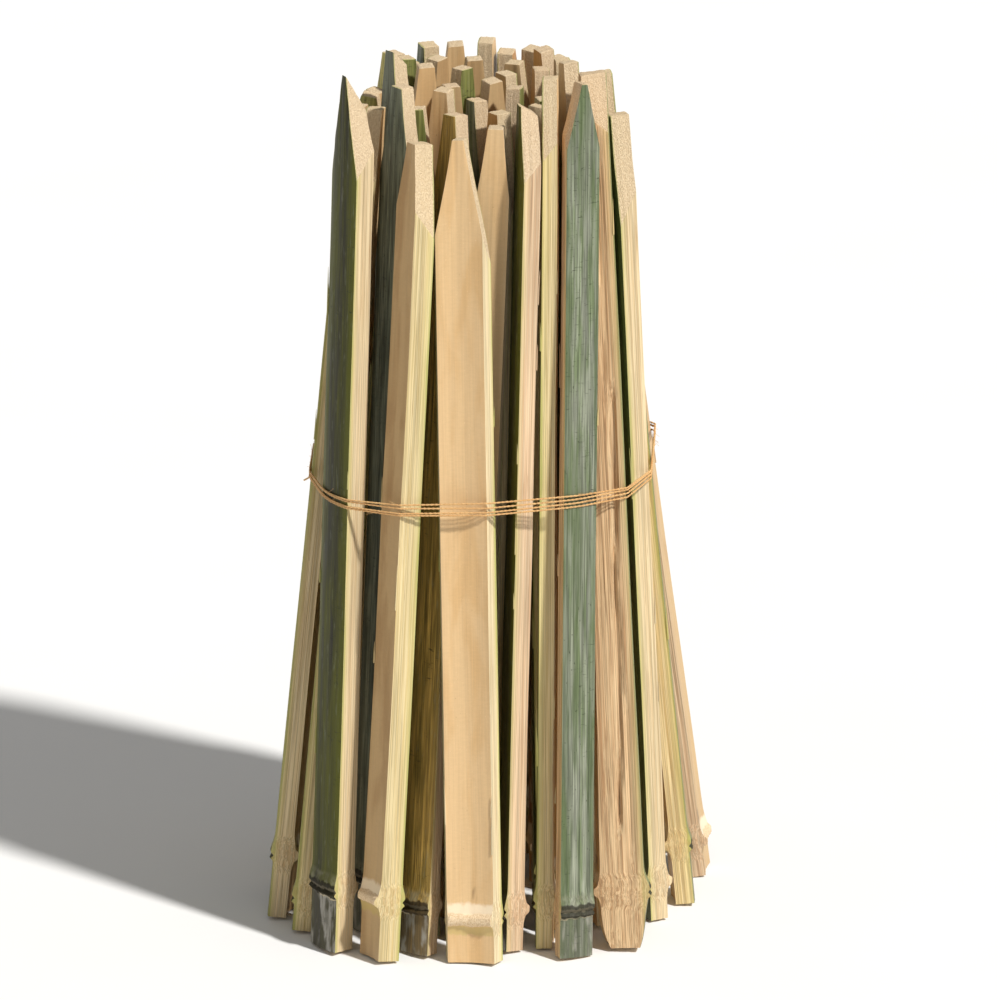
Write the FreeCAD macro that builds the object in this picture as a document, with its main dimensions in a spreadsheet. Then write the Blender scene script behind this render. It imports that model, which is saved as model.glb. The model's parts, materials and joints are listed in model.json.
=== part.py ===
"""A free-standing bundle of 48 split-bamboo stakes, tied at mid-height with four turns of twine.

Every stake is a strip split from a bamboo culm: a sector of a tube with a convex bark face, a concave pith
face and two flat split faces. It stands on its square-cut node end, with the node's outer ridge and the stub
of its diaphragm just above the foot, and two slanting cuts bring its upper end to a blunt point.
The bundle flares towards the feet. Units are millimetres. The origin is at the middle of the base, +Z up.
Angles in plan are in degrees from +X towards +Y, and the bundle's front is -Y.
"""

import FreeCAD, Part, Sketcher
import math
import os
import random

NOMINAL_HEIGHT = 450.0  # stakes are laid out by where they pass this height
GAP = 0.4  # least space between two stakes
FOOT_RING = 101.0  # radius of the rear stakes' feet
TIP_RING = 58.0  # radius of the rear stakes' tips
TIP_SHIFT = -3.0  # how far the tips' ring stands to the left of the feet's ring
REAR_STAKES = 11
REAR_ARC = (24.0, 182.0)  # the part of the ring that the rear stakes fill
FRONT_MOBILITY = 0.12  # how far a front stake gives way, where another stake gives way by 1
LAYOUT_SEED = 3
NODE_LEVEL = 28.0
NODE_SPREAD = 10.0  # most nodes lie within this of NODE_LEVEL
LEVELS = (0.0, NODE_LEVEL, 130.0, 242.0, 330.0, 392.0, 425.0, NOMINAL_HEIGHT)  # where clearances are kept

# The ranges that the rear stakes' sizes are drawn from.
REAR_WIDTH = (20, 23)
REAR_WALL = (8, 9)
REAR_LENGTH = (432, 450)
REAR_NODE = (20, 34)
REAR_POINT = (34, 60)
REAR_SHIFT = 2.0  # degrees that a rear stake strays from even spacing
FLAT_TURN = 15.0  # degrees that a stake whose bark faces in or out strays from that
EDGE_TURN = (65, 100)  # degrees that the other rear stakes' bark is turned from straight out

# Settling: how stakes are pushed apart and pulled back towards their wanted places.
ROUNDS = 700
NEAR = 45.0  # stakes further apart than this at every height can't touch
FIRM_PULL, SLACK_PULL = 0.02, 0.004  # share of the way back in each round
FIRM_ROUNDS, SLACK_ROUNDS = 0.5, 0.7  # share of the rounds after which each pull ends
SETTLED = 0.04  # a shortfall in GAP that is small enough

# The twine's path.
CORNER_SPACING = 2.5  # corners nearer than this are taken as one
HEIGHT_MARGIN = 2.0  # how far above and below the turns the stakes' sections are measured
BEND_SHARE = 0.45  # the most of a run that the bend at either end may take up
TAIL_LEAN, TAIL_SPREAD = 0.45, 0.5  # how far a tail leans out and sideways for each 1 it goes down

DIMENSIONS = {
    "culm_radius": 50.0,
    "ridge_rise": 2.0,
    "core_ridge_rise": 1.2,
    "ridge_half": 5.0,
    "stub_rise": 3.5,
    "core_stub_rise": 2.2,
    "stub_half": 3.5,
    "tip_width": 8.0,
    "cut_margin": 2.0,
    "twine_diameter": 1.4,
    "twine_pitch": 2.1,
    "twine_turns": 4.0,
    "twine_height": 241.0,
    "twine_gap": 0.35,
    "twine_bend": 5.0,
    "knot_radius": 3.2,
    "knot_half_height": 7.0,
    "knot_rounding": 2.4,
    "tail_length": 16.0,
}

# Stakes whose places are chosen one by one, each with: foot x, foot y, tip x, tip y, direction that the bark
# faces, width, wall at the tip, length, height of the node, length of the point, and how much thicker the
# wall is at the foot.
FRONT = (
    (-110, -38, -67, -12, 168, 24, 9.0, 437, 34, 50, 1.0),
    (-99, -60, -58, -28, 168, 21, 9.0, 440, 18, 50, 1.0),
    (-79, -91, -70, -49, -150, 26, 12.5, 464, 33, 55, 0.5),
    (-62, -102, -35, -61, 30, 25, 11.0, 432, 32, 50, 0.5),
    (-36, -100, -17, -38, -131, 20, 10.0, 442, 25, 50, 0.5),
    (-12, -107, -18, -62, 78, 30, 9.0, 435, 23, 66, 0.5),
    (14, -86, 21, -49, -168, 24, 9.5, 449, 22, 40, 0.5),
    (26, -90, 34, -50, 176, 18, 8.0, 462, 25, 45, 0.5),
    (38, -99, 38, -49, -63, 19, 9.0, 461, 25, 34, 0.5),
    (74, -87, 54, -25, 8, 24, 13.5, 460, 30, 30, 10.0),
    (86, -39, 62, -18, -165, 22, 10.0, 433, 20, 60, 0.5),
    (99, -20, 57, 4, 8, 22, 9.5, 449, 32, 45, 0.5),
    (107, 27, 45, 28, 172, 24, 9.5, 443, 19, 50, 1.0),
)
MIDDLE = (
    (-57, -68, -45, -37, -140, 24, 8.5, 455, 30, 50, 0.5),
    (-60, -40, -46, -18, -150, 22, 8.5, 465, 30, 50, 0.5),
    (-38, -72, -33, -38, -100, 20, 8.0, 440, 30, 50, 0.5),
    (-42, 2, -33, 4, 100, 20, 8.0, 451, 30, 50, 0.5),
    (-30, -36, -24, -19, 60, 20, 8.0, 446, 30, 50, 0.5),
    (-17, -74, -8, -48, 85, 20, 8.0, 436, 30, 50, 0.5),
    (4, -66, 9, -38, 34, 24, 9.0, 438, 30, 58, 0.5),
    (30, -58, 20, -29, 160, 20, 8.0, 441, 30, 50, 0.5),
    (56, -54, 39, -10, 20, 21, 8.5, 458, 30, 50, 0.5),
    (56, 18, 36, 10, 10, 20, 8.0, 450, 30, 50, 0.5),
    (-42, 42, -28, 28, 140, 20, 8.0, 448, 30, 50, 0.5),
    (-14, 58, -9, 34, 100, 20, 8.0, 446, 30, 50, 0.5),
    (20, 58, 12, 34, 70, 20, 8.0, 444, 30, 50, 0.5),
    (46, 44, 30, 30, 30, 20, 8.0, 450, 30, 50, 0.5),
    (-64, 22, -44, 16, -60, 20, 8.0, 452, 26, 48, 0.5),
    (32, -32, 26, -18, -70, 20, 8.0, 440, 22, 52, 0.5),
    (62, -14, 40, 0, 95, 20, 8.0, 447, 26, 44, 0.5),
)
CORE = (
    (2, 0, 125, 20, 8.0, 444, 24, 50),
    (6, 18, 40, 20, 8.0, 442, 20, 52),
    (-15, 13, -45, 20, 8.0, 447, 28, 46),
    (-19, -7, 105, 20, 8.0, 443, 22, 55),
    (-4, -19, -150, 20, 8.0, 440, 30, 48),
    (16, -11, -12, 20, 8.0, 445, 26, 50),
    (25, 7, 10, 20, 8.0, 449, 24, 44),
)


class Stake:
    """One stake's sizes, and where its middle line stands and passes the nominal height."""

    def __init__(self, name, foot, tip, bark, width, wall, length, node, point, swell, upright=False):
        self.name = name
        self.foot = list(foot)
        self.tip = list(tip)
        self.wanted_foot = tuple(foot)
        self.wanted_tip = tuple(tip)
        self.bark = bark
        self.sizes = {
            "width": width,
            "wall": wall,
            "length": length,
            "node": node,
            "point": point,
            "swell": swell,
        }
        self.upright = upright
        self.ring = "core_" if upright else ""
        self.mobility = 1.0

    def centre(self, height):
        share = height / NOMINAL_HEIGHT
        return [a + (b - a) * share for a, b in zip(self.foot, self.tip)]

    def wall_at(self, height):
        share = max(0.0, 1 - height / self.sizes["length"])
        return self.sizes["wall"] + self.sizes["swell"] * share

    def half_angle(self):
        return math.asin(self.sizes["width"] / 2 / DIMENSIONS["culm_radius"])

    def room(self, height):
        """How far the stake reaches inwards, outwards and sideways at a height, for keeping others clear.

        An upright stake is drawn out past its neighbours, so it needs its foot's room all the way up.
        """
        culm = DIMENSIONS["culm_radius"]
        outward = self.sizes["wall"] / 2
        pith = culm - self.wall_at(height)
        inward = culm - outward - pith * math.cos(self.half_angle())
        sideways = self.sizes["width"] / 2
        if self.upright or abs(height - NODE_LEVEL) < NODE_SPREAD:
            inward += DIMENSIONS[self.ring + "stub_rise"]
            outward += DIMENSIONS[self.ring + "ridge_rise"]
        shoulder = self.sizes["length"] - self.sizes["point"]
        if not self.upright and height > shoulder:
            share = min(1.0, (height - shoulder) / self.sizes["point"])
            sideways += (DIMENSIONS["tip_width"] / 2 - sideways) * share
        return inward, outward, sideways

    def rectangle(self, height):
        """Centre, half sizes and bark direction of the rectangle that holds the section at a height."""
        x, y = self.centre(height)
        inward, outward, sideways = self.room(height)
        across = math.cos(math.radians(self.bark))
        along = math.sin(math.radians(self.bark))
        middle = (outward - inward) / 2
        return x + across * middle, y + along * middle, (outward + inward) / 2, sideways, across, along

    def outline(self, height):
        """Points round the true section at a height: five on the bark's arc, and the two pith corners."""
        culm = DIMENSIONS["culm_radius"]
        x, y = self.centre(height)
        across = math.cos(math.radians(self.bark))
        along = math.sin(math.radians(self.bark))
        middle = culm - self.sizes["wall"] / 2
        half = self.half_angle()
        polar = [(culm, half * k / 2) for k in range(-2, 3)]
        polar += [(culm - self.wall_at(height), side * half) for side in (-1, 1)]
        points = []
        for radius, angle in polar:
            outward = radius * math.cos(angle) - middle
            sideways = radius * math.sin(angle)
            points.append((x + across * outward - along * sideways, y + along * outward + across * sideways))
        return points


def overlap(one, other):
    """The shortest move that takes the second rectangle GAP clear of the first: (length, x, y), or None."""
    one_x, one_y, one_thick, one_wide, one_c, one_s = one
    other_x, other_y, other_thick, other_wide, other_c, other_s = other
    apart_x = other_x - one_x
    apart_y = other_y - one_y
    if math.hypot(apart_x, apart_y) > one_thick + one_wide + other_thick + other_wide:
        return None
    same = abs(one_c * other_c + one_s * other_s)
    crossed = abs(one_c * other_s - one_s * other_c)
    shortest = None
    for x, y, reach in (
        (one_c, one_s, one_thick + other_thick * same + other_wide * crossed),
        (-one_s, one_c, one_wide + other_thick * crossed + other_wide * same),
        (other_c, other_s, other_thick + one_thick * same + one_wide * crossed),
        (-other_s, other_c, other_wide + one_thick * crossed + one_wide * same),
    ):
        apart = apart_x * x + apart_y * y
        depth = reach + GAP - abs(apart)
        if depth <= 0:
            return None
        if shortest is None or depth < shortest[0]:
            side = math.copysign(1, apart)
            shortest = (depth, x * side, y * side)
    return shortest


def neighbours(stakes):
    """Pairs of stakes that come near each other at some height."""
    pairs = []
    for number, one in enumerate(stakes):
        for other in stakes[number + 1 :]:
            heights = (0, NOMINAL_HEIGHT / 2, NOMINAL_HEIGHT)
            gaps = [math.dist(one.centre(z), other.centre(z)) for z in heights]
            if min(gaps) < NEAR:
                pairs.append((one, other))
    return pairs


def share_move(stake, height, x, y):
    """A move of the stake's section at a height, as moves of its foot and its tip."""
    if stake.upright:
        return [x, y, x, y]
    up = height / NOMINAL_HEIGHT
    norm = (1 - up) ** 2 + up**2
    foot = (1 - up) / norm
    tip = up / norm
    return [x * foot, y * foot, x * tip, y * tip]


def settle(stakes):
    """Moves the stakes apart, a little each round, until no two are within GAP at any level."""
    for turn in range(ROUNDS):
        if turn % 10 == 0:
            pairs = neighbours(stakes)
        pull = 0.0
        if turn < FIRM_ROUNDS * ROUNDS:
            pull = FIRM_PULL
        elif turn < SLACK_ROUNDS * ROUNDS:
            pull = SLACK_PULL
        for stake in stakes:
            for place, wanted in ((stake.foot, stake.wanted_foot), (stake.tip, stake.wanted_tip)):
                for k in (0, 1):
                    place[k] += (wanted[k] - place[k]) * pull
        moves = {stake.name: [0.0] * 4 for stake in stakes}
        counts = dict.fromkeys(moves, 0)
        worst = 0.0
        for height in LEVELS:
            held = {stake.name: stake.rectangle(height) for stake in stakes}
            for one, other in pairs:
                found = overlap(held[one.name], held[other.name])
                if found is None:
                    continue
                depth, x, y = found
                worst = max(worst, depth)
                for stake, side in ((one, -0.5), (other, 0.5)):
                    part = side * depth * stake.mobility / (one.mobility + other.mobility)
                    step = share_move(stake, height, x * part, y * part)
                    moves[stake.name] = [a + b for a, b in zip(moves[stake.name], step)]
                    counts[stake.name] += 1
        for stake in stakes:
            weight = 1 / math.sqrt(max(1, counts[stake.name]))
            move = [value * weight for value in moves[stake.name]]
            stake.foot = [stake.foot[0] + move[0], stake.foot[1] + move[1]]
            stake.tip = [stake.tip[0] + move[2], stake.tip[1] + move[3]]
        if pull == 0 and worst < SETTLED:
            return
    raise RuntimeError(f"two stakes are still {worst:.2f} mm too close")


def lay_out():
    """Every stake of the bundle, in its place."""
    chance = random.Random(LAYOUT_SEED)
    outer = [(row[:2], row[2:4], *row[4:]) for row in FRONT]
    step = (REAR_ARC[1] - REAR_ARC[0]) / REAR_STAKES
    for number in range(REAR_STAKES):
        around = REAR_ARC[0] + step * (number + 0.5) + chance.uniform(-REAR_SHIFT, REAR_SHIFT)
        x = math.cos(math.radians(around))
        y = math.sin(math.radians(around))
        if number % 4 == 1:
            bark = around + chance.choice((0, 180)) + chance.uniform(-FLAT_TURN, FLAT_TURN)
        else:
            bark = around + chance.choice((-1, 1)) * chance.uniform(*EDGE_TURN)
        foot = (FOOT_RING * x, FOOT_RING * y)
        tip = (TIP_RING * x + TIP_SHIFT, TIP_RING * y)
        width = round(chance.uniform(*REAR_WIDTH), 1)
        wall = round(chance.uniform(*REAR_WALL), 1)
        length = round(chance.uniform(*REAR_LENGTH))
        node = round(chance.uniform(*REAR_NODE))
        point = round(chance.uniform(*REAR_POINT))
        outer.append((foot, tip, bark, width, wall, length, node, point, 0.5))
    stakes = [Stake(f"outer_stake_{n:02d}", *row) for n, row in enumerate(outer, 1)]
    for stake in stakes[: len(FRONT)]:
        stake.mobility = FRONT_MOBILITY
    for number, row in enumerate(MIDDLE, 1):
        stakes.append(Stake(f"middle_stake_{number:02d}", row[:2], row[2:4], *row[4:]))
    for number, (x, y, *row) in enumerate(CORE, 1):
        stakes.append(Stake(f"core_stake_{number:02d}", (x, y), (x, y), *row, 0.0, upright=True))
    settle(stakes)
    reach = [point for stake in stakes for point in stake.outline(0.0)]
    for k in (0, 1):
        middle = (min(p[k] for p in reach) + max(p[k] for p in reach)) / 2
        for stake in stakes:
            stake.foot[k] -= middle
            stake.tip[k] -= middle
    return stakes


def fill_sheet(sheet, stakes):
    """Writes every driving dimension into the sheet, under an alias of its own."""
    rows = dict(DIMENSIONS)
    for stake in stakes:
        for key, value in stake.sizes.items():
            rows[f"{stake.name}_{key}"] = value
    for number, (alias, value) in enumerate(rows.items(), 1):
        sheet.set(f"A{number}", alias)
        sheet.set(f"B{number}", f"{value:g}")
        sheet.setAlias(f"B{number}", alias)


def origin_part(body, role):
    return next(item for item in body.Origin.OriginFeatures if item.Role == role)


def new_sketch(body, name, plane):
    sketch = body.newObject("Sketcher::SketchObject", name)
    sketch.AttachmentSupport = [(origin_part(body, plane), "")]
    sketch.MapMode = "FlatFace"
    return sketch


def draw_outline(sketch, points):
    """A closed outline whose corners are each held by two distances from the origin.

    A point is (x value, y value, x formula, y formula). The values need only be near the formulas'.
    """
    first = sketch.GeometryCount
    count = len(points)
    for number, point in enumerate(points):
        after = points[(number + 1) % count]
        start = FreeCAD.Vector(point[0], point[1], 0)
        end = FreeCAD.Vector(after[0], after[1], 0)
        sketch.addGeometry(Part.LineSegment(start, end), False)
    for number in range(count):
        line = first + number
        sketch.addConstraint(Sketcher.Constraint("Coincident", line, 2, first + (number + 1) % count, 1))
    for number, (x, y, x_formula, y_formula) in enumerate(points):
        for kind, value, formula in (("DistanceX", x, x_formula), ("DistanceY", y, y_formula)):
            row = sketch.addConstraint(Sketcher.Constraint(kind, -1, 1, first + number, 1, value))
            sketch.setExpression(f"Constraints[{row}]", formula)


def make_stake(doc, stake):
    """A strip turned about its culm's axis, with its point cut by two slanting planes."""
    size = stake.sizes
    culm = DIMENSIONS["culm_radius"]
    body = doc.addObject("PartDesign::Body", stake.name)
    body.Label = stake.name

    def cell(key):
        return f"sizes.{stake.name}_{key}"

    def at(radius, radius_formula, height, height_formula):
        return radius, height, radius_formula, height_formula

    def pith(height, height_formula, rise=0.0, rise_formula="0"):
        radius = culm - stake.wall_at(height) - rise
        thick = f"{cell('wall')} + {cell('swell')} * (1 - ({height_formula}) / {cell('length')})"
        return at(radius, f"sizes.culm_radius - ({thick}) - {rise_formula}", height, height_formula)

    node = size["node"]
    stub = DIMENSIONS["stub_half"]
    ridge = DIMENSIONS["ridge_half"]
    length = size["length"]
    crest = DIMENSIONS[stake.ring + "ridge_rise"]
    rise = DIMENSIONS[stake.ring + "stub_rise"]
    profile = new_sketch(body, "Profile", "XZ_Plane")
    draw_outline(
        profile,
        [
            pith(0.0, "0"),
            at(culm, "sizes.culm_radius", 0.0, "0"),
            at(culm, "sizes.culm_radius", node - ridge, f"{cell('node')} - sizes.ridge_half"),
            at(culm + crest, f"sizes.culm_radius + sizes.{stake.ring}ridge_rise", node, cell("node")),
            at(culm, "sizes.culm_radius", node + ridge, f"{cell('node')} + sizes.ridge_half"),
            at(culm, "sizes.culm_radius", length, cell("length")),
            pith(length, cell("length")),
            pith(node + stub, f"{cell('node')} + sizes.stub_half"),
            pith(node, cell("node"), rise, f"sizes.{stake.ring}stub_rise"),
            pith(node - stub, f"{cell('node')} - sizes.stub_half"),
        ],
    )
    strip = body.newObject("PartDesign::Revolution", "Strip")
    strip.Profile = profile
    strip.ReferenceAxis = (origin_part(body, "Z_Axis"), [""])
    strip.Midplane = True
    strip.setExpression("Angle", f"2 * asin({cell('width')} / 2 / sizes.culm_radius)")
    profile.Visibility = False

    margin = DIMENSIONS["cut_margin"]
    half = size["width"] / 2
    shoulder = length - size["point"]
    cuts = new_sketch(body, "Point_cuts", "YZ_Plane")
    for side in (-1, 1):
        sign = "-1" if side < 0 else "1"
        draw_outline(
            cuts,
            [
                (
                    side * half, shoulder,
                    f"{sign} * {cell('width')} / 2", f"{cell('length')} - {cell('point')}",
                ),
                (
                    side * (half + margin),
                    shoulder,
                    f"{sign} * ({cell('width')} / 2 + sizes.cut_margin)",
                    f"{cell('length')} - {cell('point')}",
                ),
                (
                    side * (half + margin),
                    length,
                    f"{sign} * ({cell('width')} / 2 + sizes.cut_margin)",
                    cell("length"),
                ),
                (side * DIMENSIONS["tip_width"] / 2, length, f"{sign} * sizes.tip_width / 2", cell("length")),
            ],
        )
    point = body.newObject("PartDesign::Pocket", "Point")
    point.Profile = cuts
    point.Type = "ThroughAll"
    point.Midplane = True
    cuts.Visibility = False
    body.Tip = point
    place_stake(body, stake)
    return body


def place_stake(body, stake):
    """Leans the stake from its foot to its tip, turns its bark outwards and stands its lowest corner at 0."""
    culm = DIMENSIONS["culm_radius"]
    middle = culm - stake.sizes["wall"] / 2
    (x, y), (tip_x, tip_y) = stake.foot, stake.tip
    up = FreeCAD.Vector(tip_x - x, tip_y - y, NOMINAL_HEIGHT).normalize()
    bark = FreeCAD.Vector(math.cos(math.radians(stake.bark)), math.sin(math.radians(stake.bark)), 0)
    rotation = FreeCAD.Rotation(bark, FreeCAD.Vector(), up, "ZXY")
    half = stake.half_angle()
    corners = [(radius, side * half) for radius in (culm, culm - stake.wall_at(0)) for side in (-1, 0, 1)]
    heights = []
    for radius, angle in corners:
        corner = FreeCAD.Vector(radius * math.cos(angle) - middle, radius * math.sin(angle), 0)
        heights.append(rotation.multVec(corner).z)
    base = FreeCAD.Vector(x, y, -min(heights)) - rotation.multVec(FreeCAD.Vector(middle, 0, 0))
    body.Placement = FreeCAD.Placement(base, rotation)


def hull_of(points):
    """The corners of the convex hull of plan points, anticlockwise."""
    ordered = sorted(set(points))

    def half(run):
        chain = []
        for point in run:
            while len(chain) > 1:
                (ax, ay), (bx, by) = chain[-2:]
                if (bx - ax) * (point[1] - ay) - (by - ay) * (point[0] - ax) > 0:
                    break
                chain.pop()
            chain.append(point)
        return chain[:-1]

    return half(ordered) + half(reversed(ordered))


def sparse(corners, closest):
    """The corners without those nearer than a distance to the one before."""
    kept = [corners[0]]
    for corner in corners[1:]:
        if math.dist(corner, kept[-1]) >= closest and math.dist(corner, kept[0]) >= closest:
            kept.append(corner)
    return kept


def offset_corners(corners, distance):
    """The corners of an anticlockwise polygon moved outwards by a distance."""
    moved = []
    for number, (x, y) in enumerate(corners):
        before = corners[number - 1]
        after = corners[(number + 1) % len(corners)]
        a = math.atan2(y - before[1], x - before[0])
        b = math.atan2(after[1] - y, after[0] - x)
        turn = math.atan2(math.sin(b - a), math.cos(b - a))
        out = a + turn / 2 - math.pi / 2
        reach = distance / math.cos(turn / 2)
        moved.append((x + reach * math.cos(out), y + reach * math.sin(out)))
    return moved


def twine_route(stakes, sheet):
    """The twine's corners: from its first end, round the bundle in rising turns, to its last end."""
    height = sheet.twine_height
    clear = sheet.twine_diameter / 2 + sheet.twine_gap
    rise = sheet.twine_pitch * sheet.twine_turns
    touched = []
    for stake in stakes:
        for level in (height - HEIGHT_MARGIN, height + rise + HEIGHT_MARGIN):
            touched += [(round(x, 2), round(y, 2)) for x, y in stake.outline(level)]
    ring = offset_corners(sparse(hull_of(touched), CORNER_SPACING), clear)
    back = max(range(len(ring)), key=lambda n: ring[n][1] + ring[n - 1][1])
    ring = ring[back:] + ring[:back]
    knot = [(a + b) / 2 for a, b in zip(ring[0], ring[-1])]
    ring = [tuple(knot)] + ring
    around = [math.dist(ring[n], ring[(n + 1) % len(ring)]) for n in range(len(ring))]
    total = sum(around)
    route = []
    for turn in range(round(sheet.twine_turns)):
        gone = 0.0
        for place, run in zip(ring, around):
            if route and place == ring[0]:
                gone += run
                continue
            level = height + sheet.twine_pitch * (turn + gone / total)
            route.append(FreeCAD.Vector(place[0], place[1], level))
            gone += run
    route.append(FreeCAD.Vector(knot[0], knot[1], height + rise))
    return route


def rounded_path(route, bend):
    """A wire of straight runs joined by tangent arcs, each as large as its runs allow, up to a radius."""
    edges = []
    start = route[0]
    for before, corner, after in zip(route, route[1:], route[2:]):
        back = before - corner
        ahead = after - corner
        turn = math.pi - back.getAngle(ahead)
        if turn < 1e-4:
            continue
        room = BEND_SHARE * min(back.Length, ahead.Length)
        cut = min(bend * math.tan(turn / 2), room)
        radius = cut / math.tan(turn / 2)
        back.normalize()
        ahead.normalize()
        inwards = (back + ahead).normalize()
        arc_start = corner + back * cut
        arc_end = corner + ahead * cut
        arc_middle = corner + inwards * (radius / math.cos(turn / 2) - radius)
        edges.append(Part.LineSegment(start, arc_start).toShape())
        edges.append(Part.Arc(arc_start, arc_middle, arc_end).toShape())
        start = arc_end
    edges.append(Part.LineSegment(start, route[-1]).toShape())
    return Part.Wire(edges)


def make_twine(doc, sheet, stakes):
    """One length of twine wound four times round the bundle, knotted at the back, with two short tails."""
    route = twine_route(stakes, sheet)
    path = doc.addObject("Part::Feature", "Twine_route")
    path.Shape = rounded_path(route, sheet.twine_bend)
    section = doc.addObject("Part::Circle", "Twine_section")
    section.setExpression("Radius", "sizes.twine_diameter / 2")
    first_run = (route[1] - route[0]).normalize()
    section.Placement = FreeCAD.Placement(route[0], FreeCAD.Rotation(FreeCAD.Vector(0, 0, 1), first_run))
    turns = doc.addObject("Part::Sweep", "Twine_turns")
    turns.Sections = [section]
    turns.Spine = (path, [f"Edge{n}" for n in range(1, len(path.Shape.Edges) + 1)])
    turns.Solid = True
    turns.Frenet = False
    outwards = FreeCAD.Vector(-first_run.y, first_run.x, 0) * -1
    middle = (route[0] + route[-1]) * 0.5
    core = doc.addObject("Part::Cylinder", "Knot_core")
    core.setExpression("Radius", "sizes.knot_radius")
    core.setExpression("Height", "2 * sizes.knot_half_height")
    centre = middle + outwards * (sheet.knot_radius - sheet.twine_diameter / 2)
    core.Placement.Base = centre - FreeCAD.Vector(0, 0, sheet.knot_half_height)
    doc.recompute()
    knot = doc.addObject("Part::Fillet", "Knot")
    knot.Base = core
    rims = [n for n, edge in enumerate(core.Shape.Edges, 1) if edge.Closed]
    knot.Edges = [(n, sheet.knot_rounding, sheet.knot_rounding) for n in rims]
    tails = []
    for side in (-1, 1):
        tail = doc.addObject("Part::Cylinder", "Tail")
        tail.setExpression("Radius", "sizes.twine_diameter / 2")
        tail.setExpression("Height", "sizes.tail_length")
        lean = outwards * TAIL_LEAN + first_run * (TAIL_SPREAD * side) + FreeCAD.Vector(0, 0, -1)
        tail.Placement = FreeCAD.Placement(centre, FreeCAD.Rotation(FreeCAD.Vector(0, 0, 1), lean))
        tails.append(tail)
    twine = doc.addObject("Part::MultiFuse", "binding_twine")
    twine.Shapes = [turns, knot, *tails]
    twine.Label = "binding_twine"
    doc.recompute()
    length = path.Shape.Length
    section_area = math.pi * (sheet.twine_diameter / 2) ** 2
    print(f"twine: {length:.0f} mm long, volume {turns.Shape.Volume:.1f} of {section_area * length:.1f} mm3")
    return twine


def check(doc, parts):
    """Stops if anything failed to build."""
    for item in doc.Objects:
        if "Invalid" in item.State or "Error" in item.State:
            raise RuntimeError(f"{item.Label} failed: {item.State}")
    for part in parts:
        if part.Shape.isNull() or not part.Shape.isValid() or len(part.Shape.Solids) != 1:
            raise RuntimeError(f"{part.Label} isn't one sound solid")


def main():
    doc = FreeCAD.newDocument("stake_bundle")
    stakes = lay_out()
    sheet = doc.addObject("Spreadsheet::Sheet", "sizes")
    fill_sheet(sheet, stakes)
    doc.recompute()
    parts = [make_stake(doc, stake) for stake in stakes]
    parts.append(make_twine(doc, sheet, stakes))
    doc.recompute()
    check(doc, parts)
    os.makedirs("parts", exist_ok=True)
    for part in parts:
        part.Shape.exportStep(f"parts/{part.Label}.step")


main()
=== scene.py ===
import json
import math
from itertools import combinations

import bpy
import numpy as np
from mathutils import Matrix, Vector


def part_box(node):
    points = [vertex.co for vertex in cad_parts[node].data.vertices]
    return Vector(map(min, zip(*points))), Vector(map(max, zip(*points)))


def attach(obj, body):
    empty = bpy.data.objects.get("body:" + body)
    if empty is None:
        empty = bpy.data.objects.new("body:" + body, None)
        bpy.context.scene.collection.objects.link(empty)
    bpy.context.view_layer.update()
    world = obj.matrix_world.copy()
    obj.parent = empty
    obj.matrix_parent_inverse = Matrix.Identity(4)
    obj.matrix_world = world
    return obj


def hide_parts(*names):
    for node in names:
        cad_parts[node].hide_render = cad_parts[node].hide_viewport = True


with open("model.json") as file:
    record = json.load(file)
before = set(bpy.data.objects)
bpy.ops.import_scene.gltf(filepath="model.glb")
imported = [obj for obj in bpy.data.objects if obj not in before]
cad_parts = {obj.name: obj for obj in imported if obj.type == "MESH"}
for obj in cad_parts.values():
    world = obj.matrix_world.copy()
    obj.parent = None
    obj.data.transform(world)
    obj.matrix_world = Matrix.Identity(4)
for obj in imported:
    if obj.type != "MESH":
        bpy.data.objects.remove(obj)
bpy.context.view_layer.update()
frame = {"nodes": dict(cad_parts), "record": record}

# Lengths inside the stake and twine code are millimetres; meshes are written in metres.
MM = 0.001
CULM_RADIUS = 50.0  # every stake is split from a culm of this radius


def linear(red, green, blue):
    """A colour given as it looks on a screen, 0 to 255, in Blender's linear values."""
    parts = [value / 255 for value in (red, green, blue)]
    return tuple(p / 12.92 if p < 0.04045 else ((p + 0.055) / 1.055) ** 2.4 for p in parts)


# Bark: main colour, blotch colour, how blotchy it is, how much wax and dirt lies round the node.
BARKS = {
    "dark": ((56, 54, 22), (104, 106, 30), 0.35, 0.9),
    # The olive bark is an olive-brown made lighter as painted light: it stands in for the sun on
    # outer_stake_05, which outer_stake_06 shades.
    "olive": ((192, 154, 82), (140, 116, 58), 0.9, 0.9),
    "glaucous": ((128, 132, 116), (84, 100, 60), 0.7, 0.5),
    "slate": ((138, 142, 118), (72, 78, 62), 0.7, 0.5),
    "green": ((106, 112, 58), (140, 140, 86), 0.6, 0.5),
    "moss": ((70, 84, 50), (110, 116, 72), 0.8, 0.6),
    "straw": ((182, 170, 108), (150, 148, 84), 0.6, 0.4),
}
# Pith: main colour, stain colour.
PITHS = {
    "tan": ((222, 188, 140), (212, 172, 118)),
    "orange": ((204, 154, 92), (184, 128, 68)),
    "brown": ((198, 168, 124), (176, 142, 100)),
}
# Split faces: main colour, fibre colour, how strongly the outer layer is yellow-green.
FACES = {
    "cream": ((222, 202, 164), (200, 172, 130), 0.6),
    "yellow": ((220, 202, 156), (194, 170, 116), 0.7),
    "pink": ((216, 190, 156), (190, 154, 120), 0.4),
    "brown": ((220, 190, 148), (164, 124, 86), 0.3),
    "pale": ((226, 210, 172), (208, 184, 142), 0.8),
}
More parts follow.
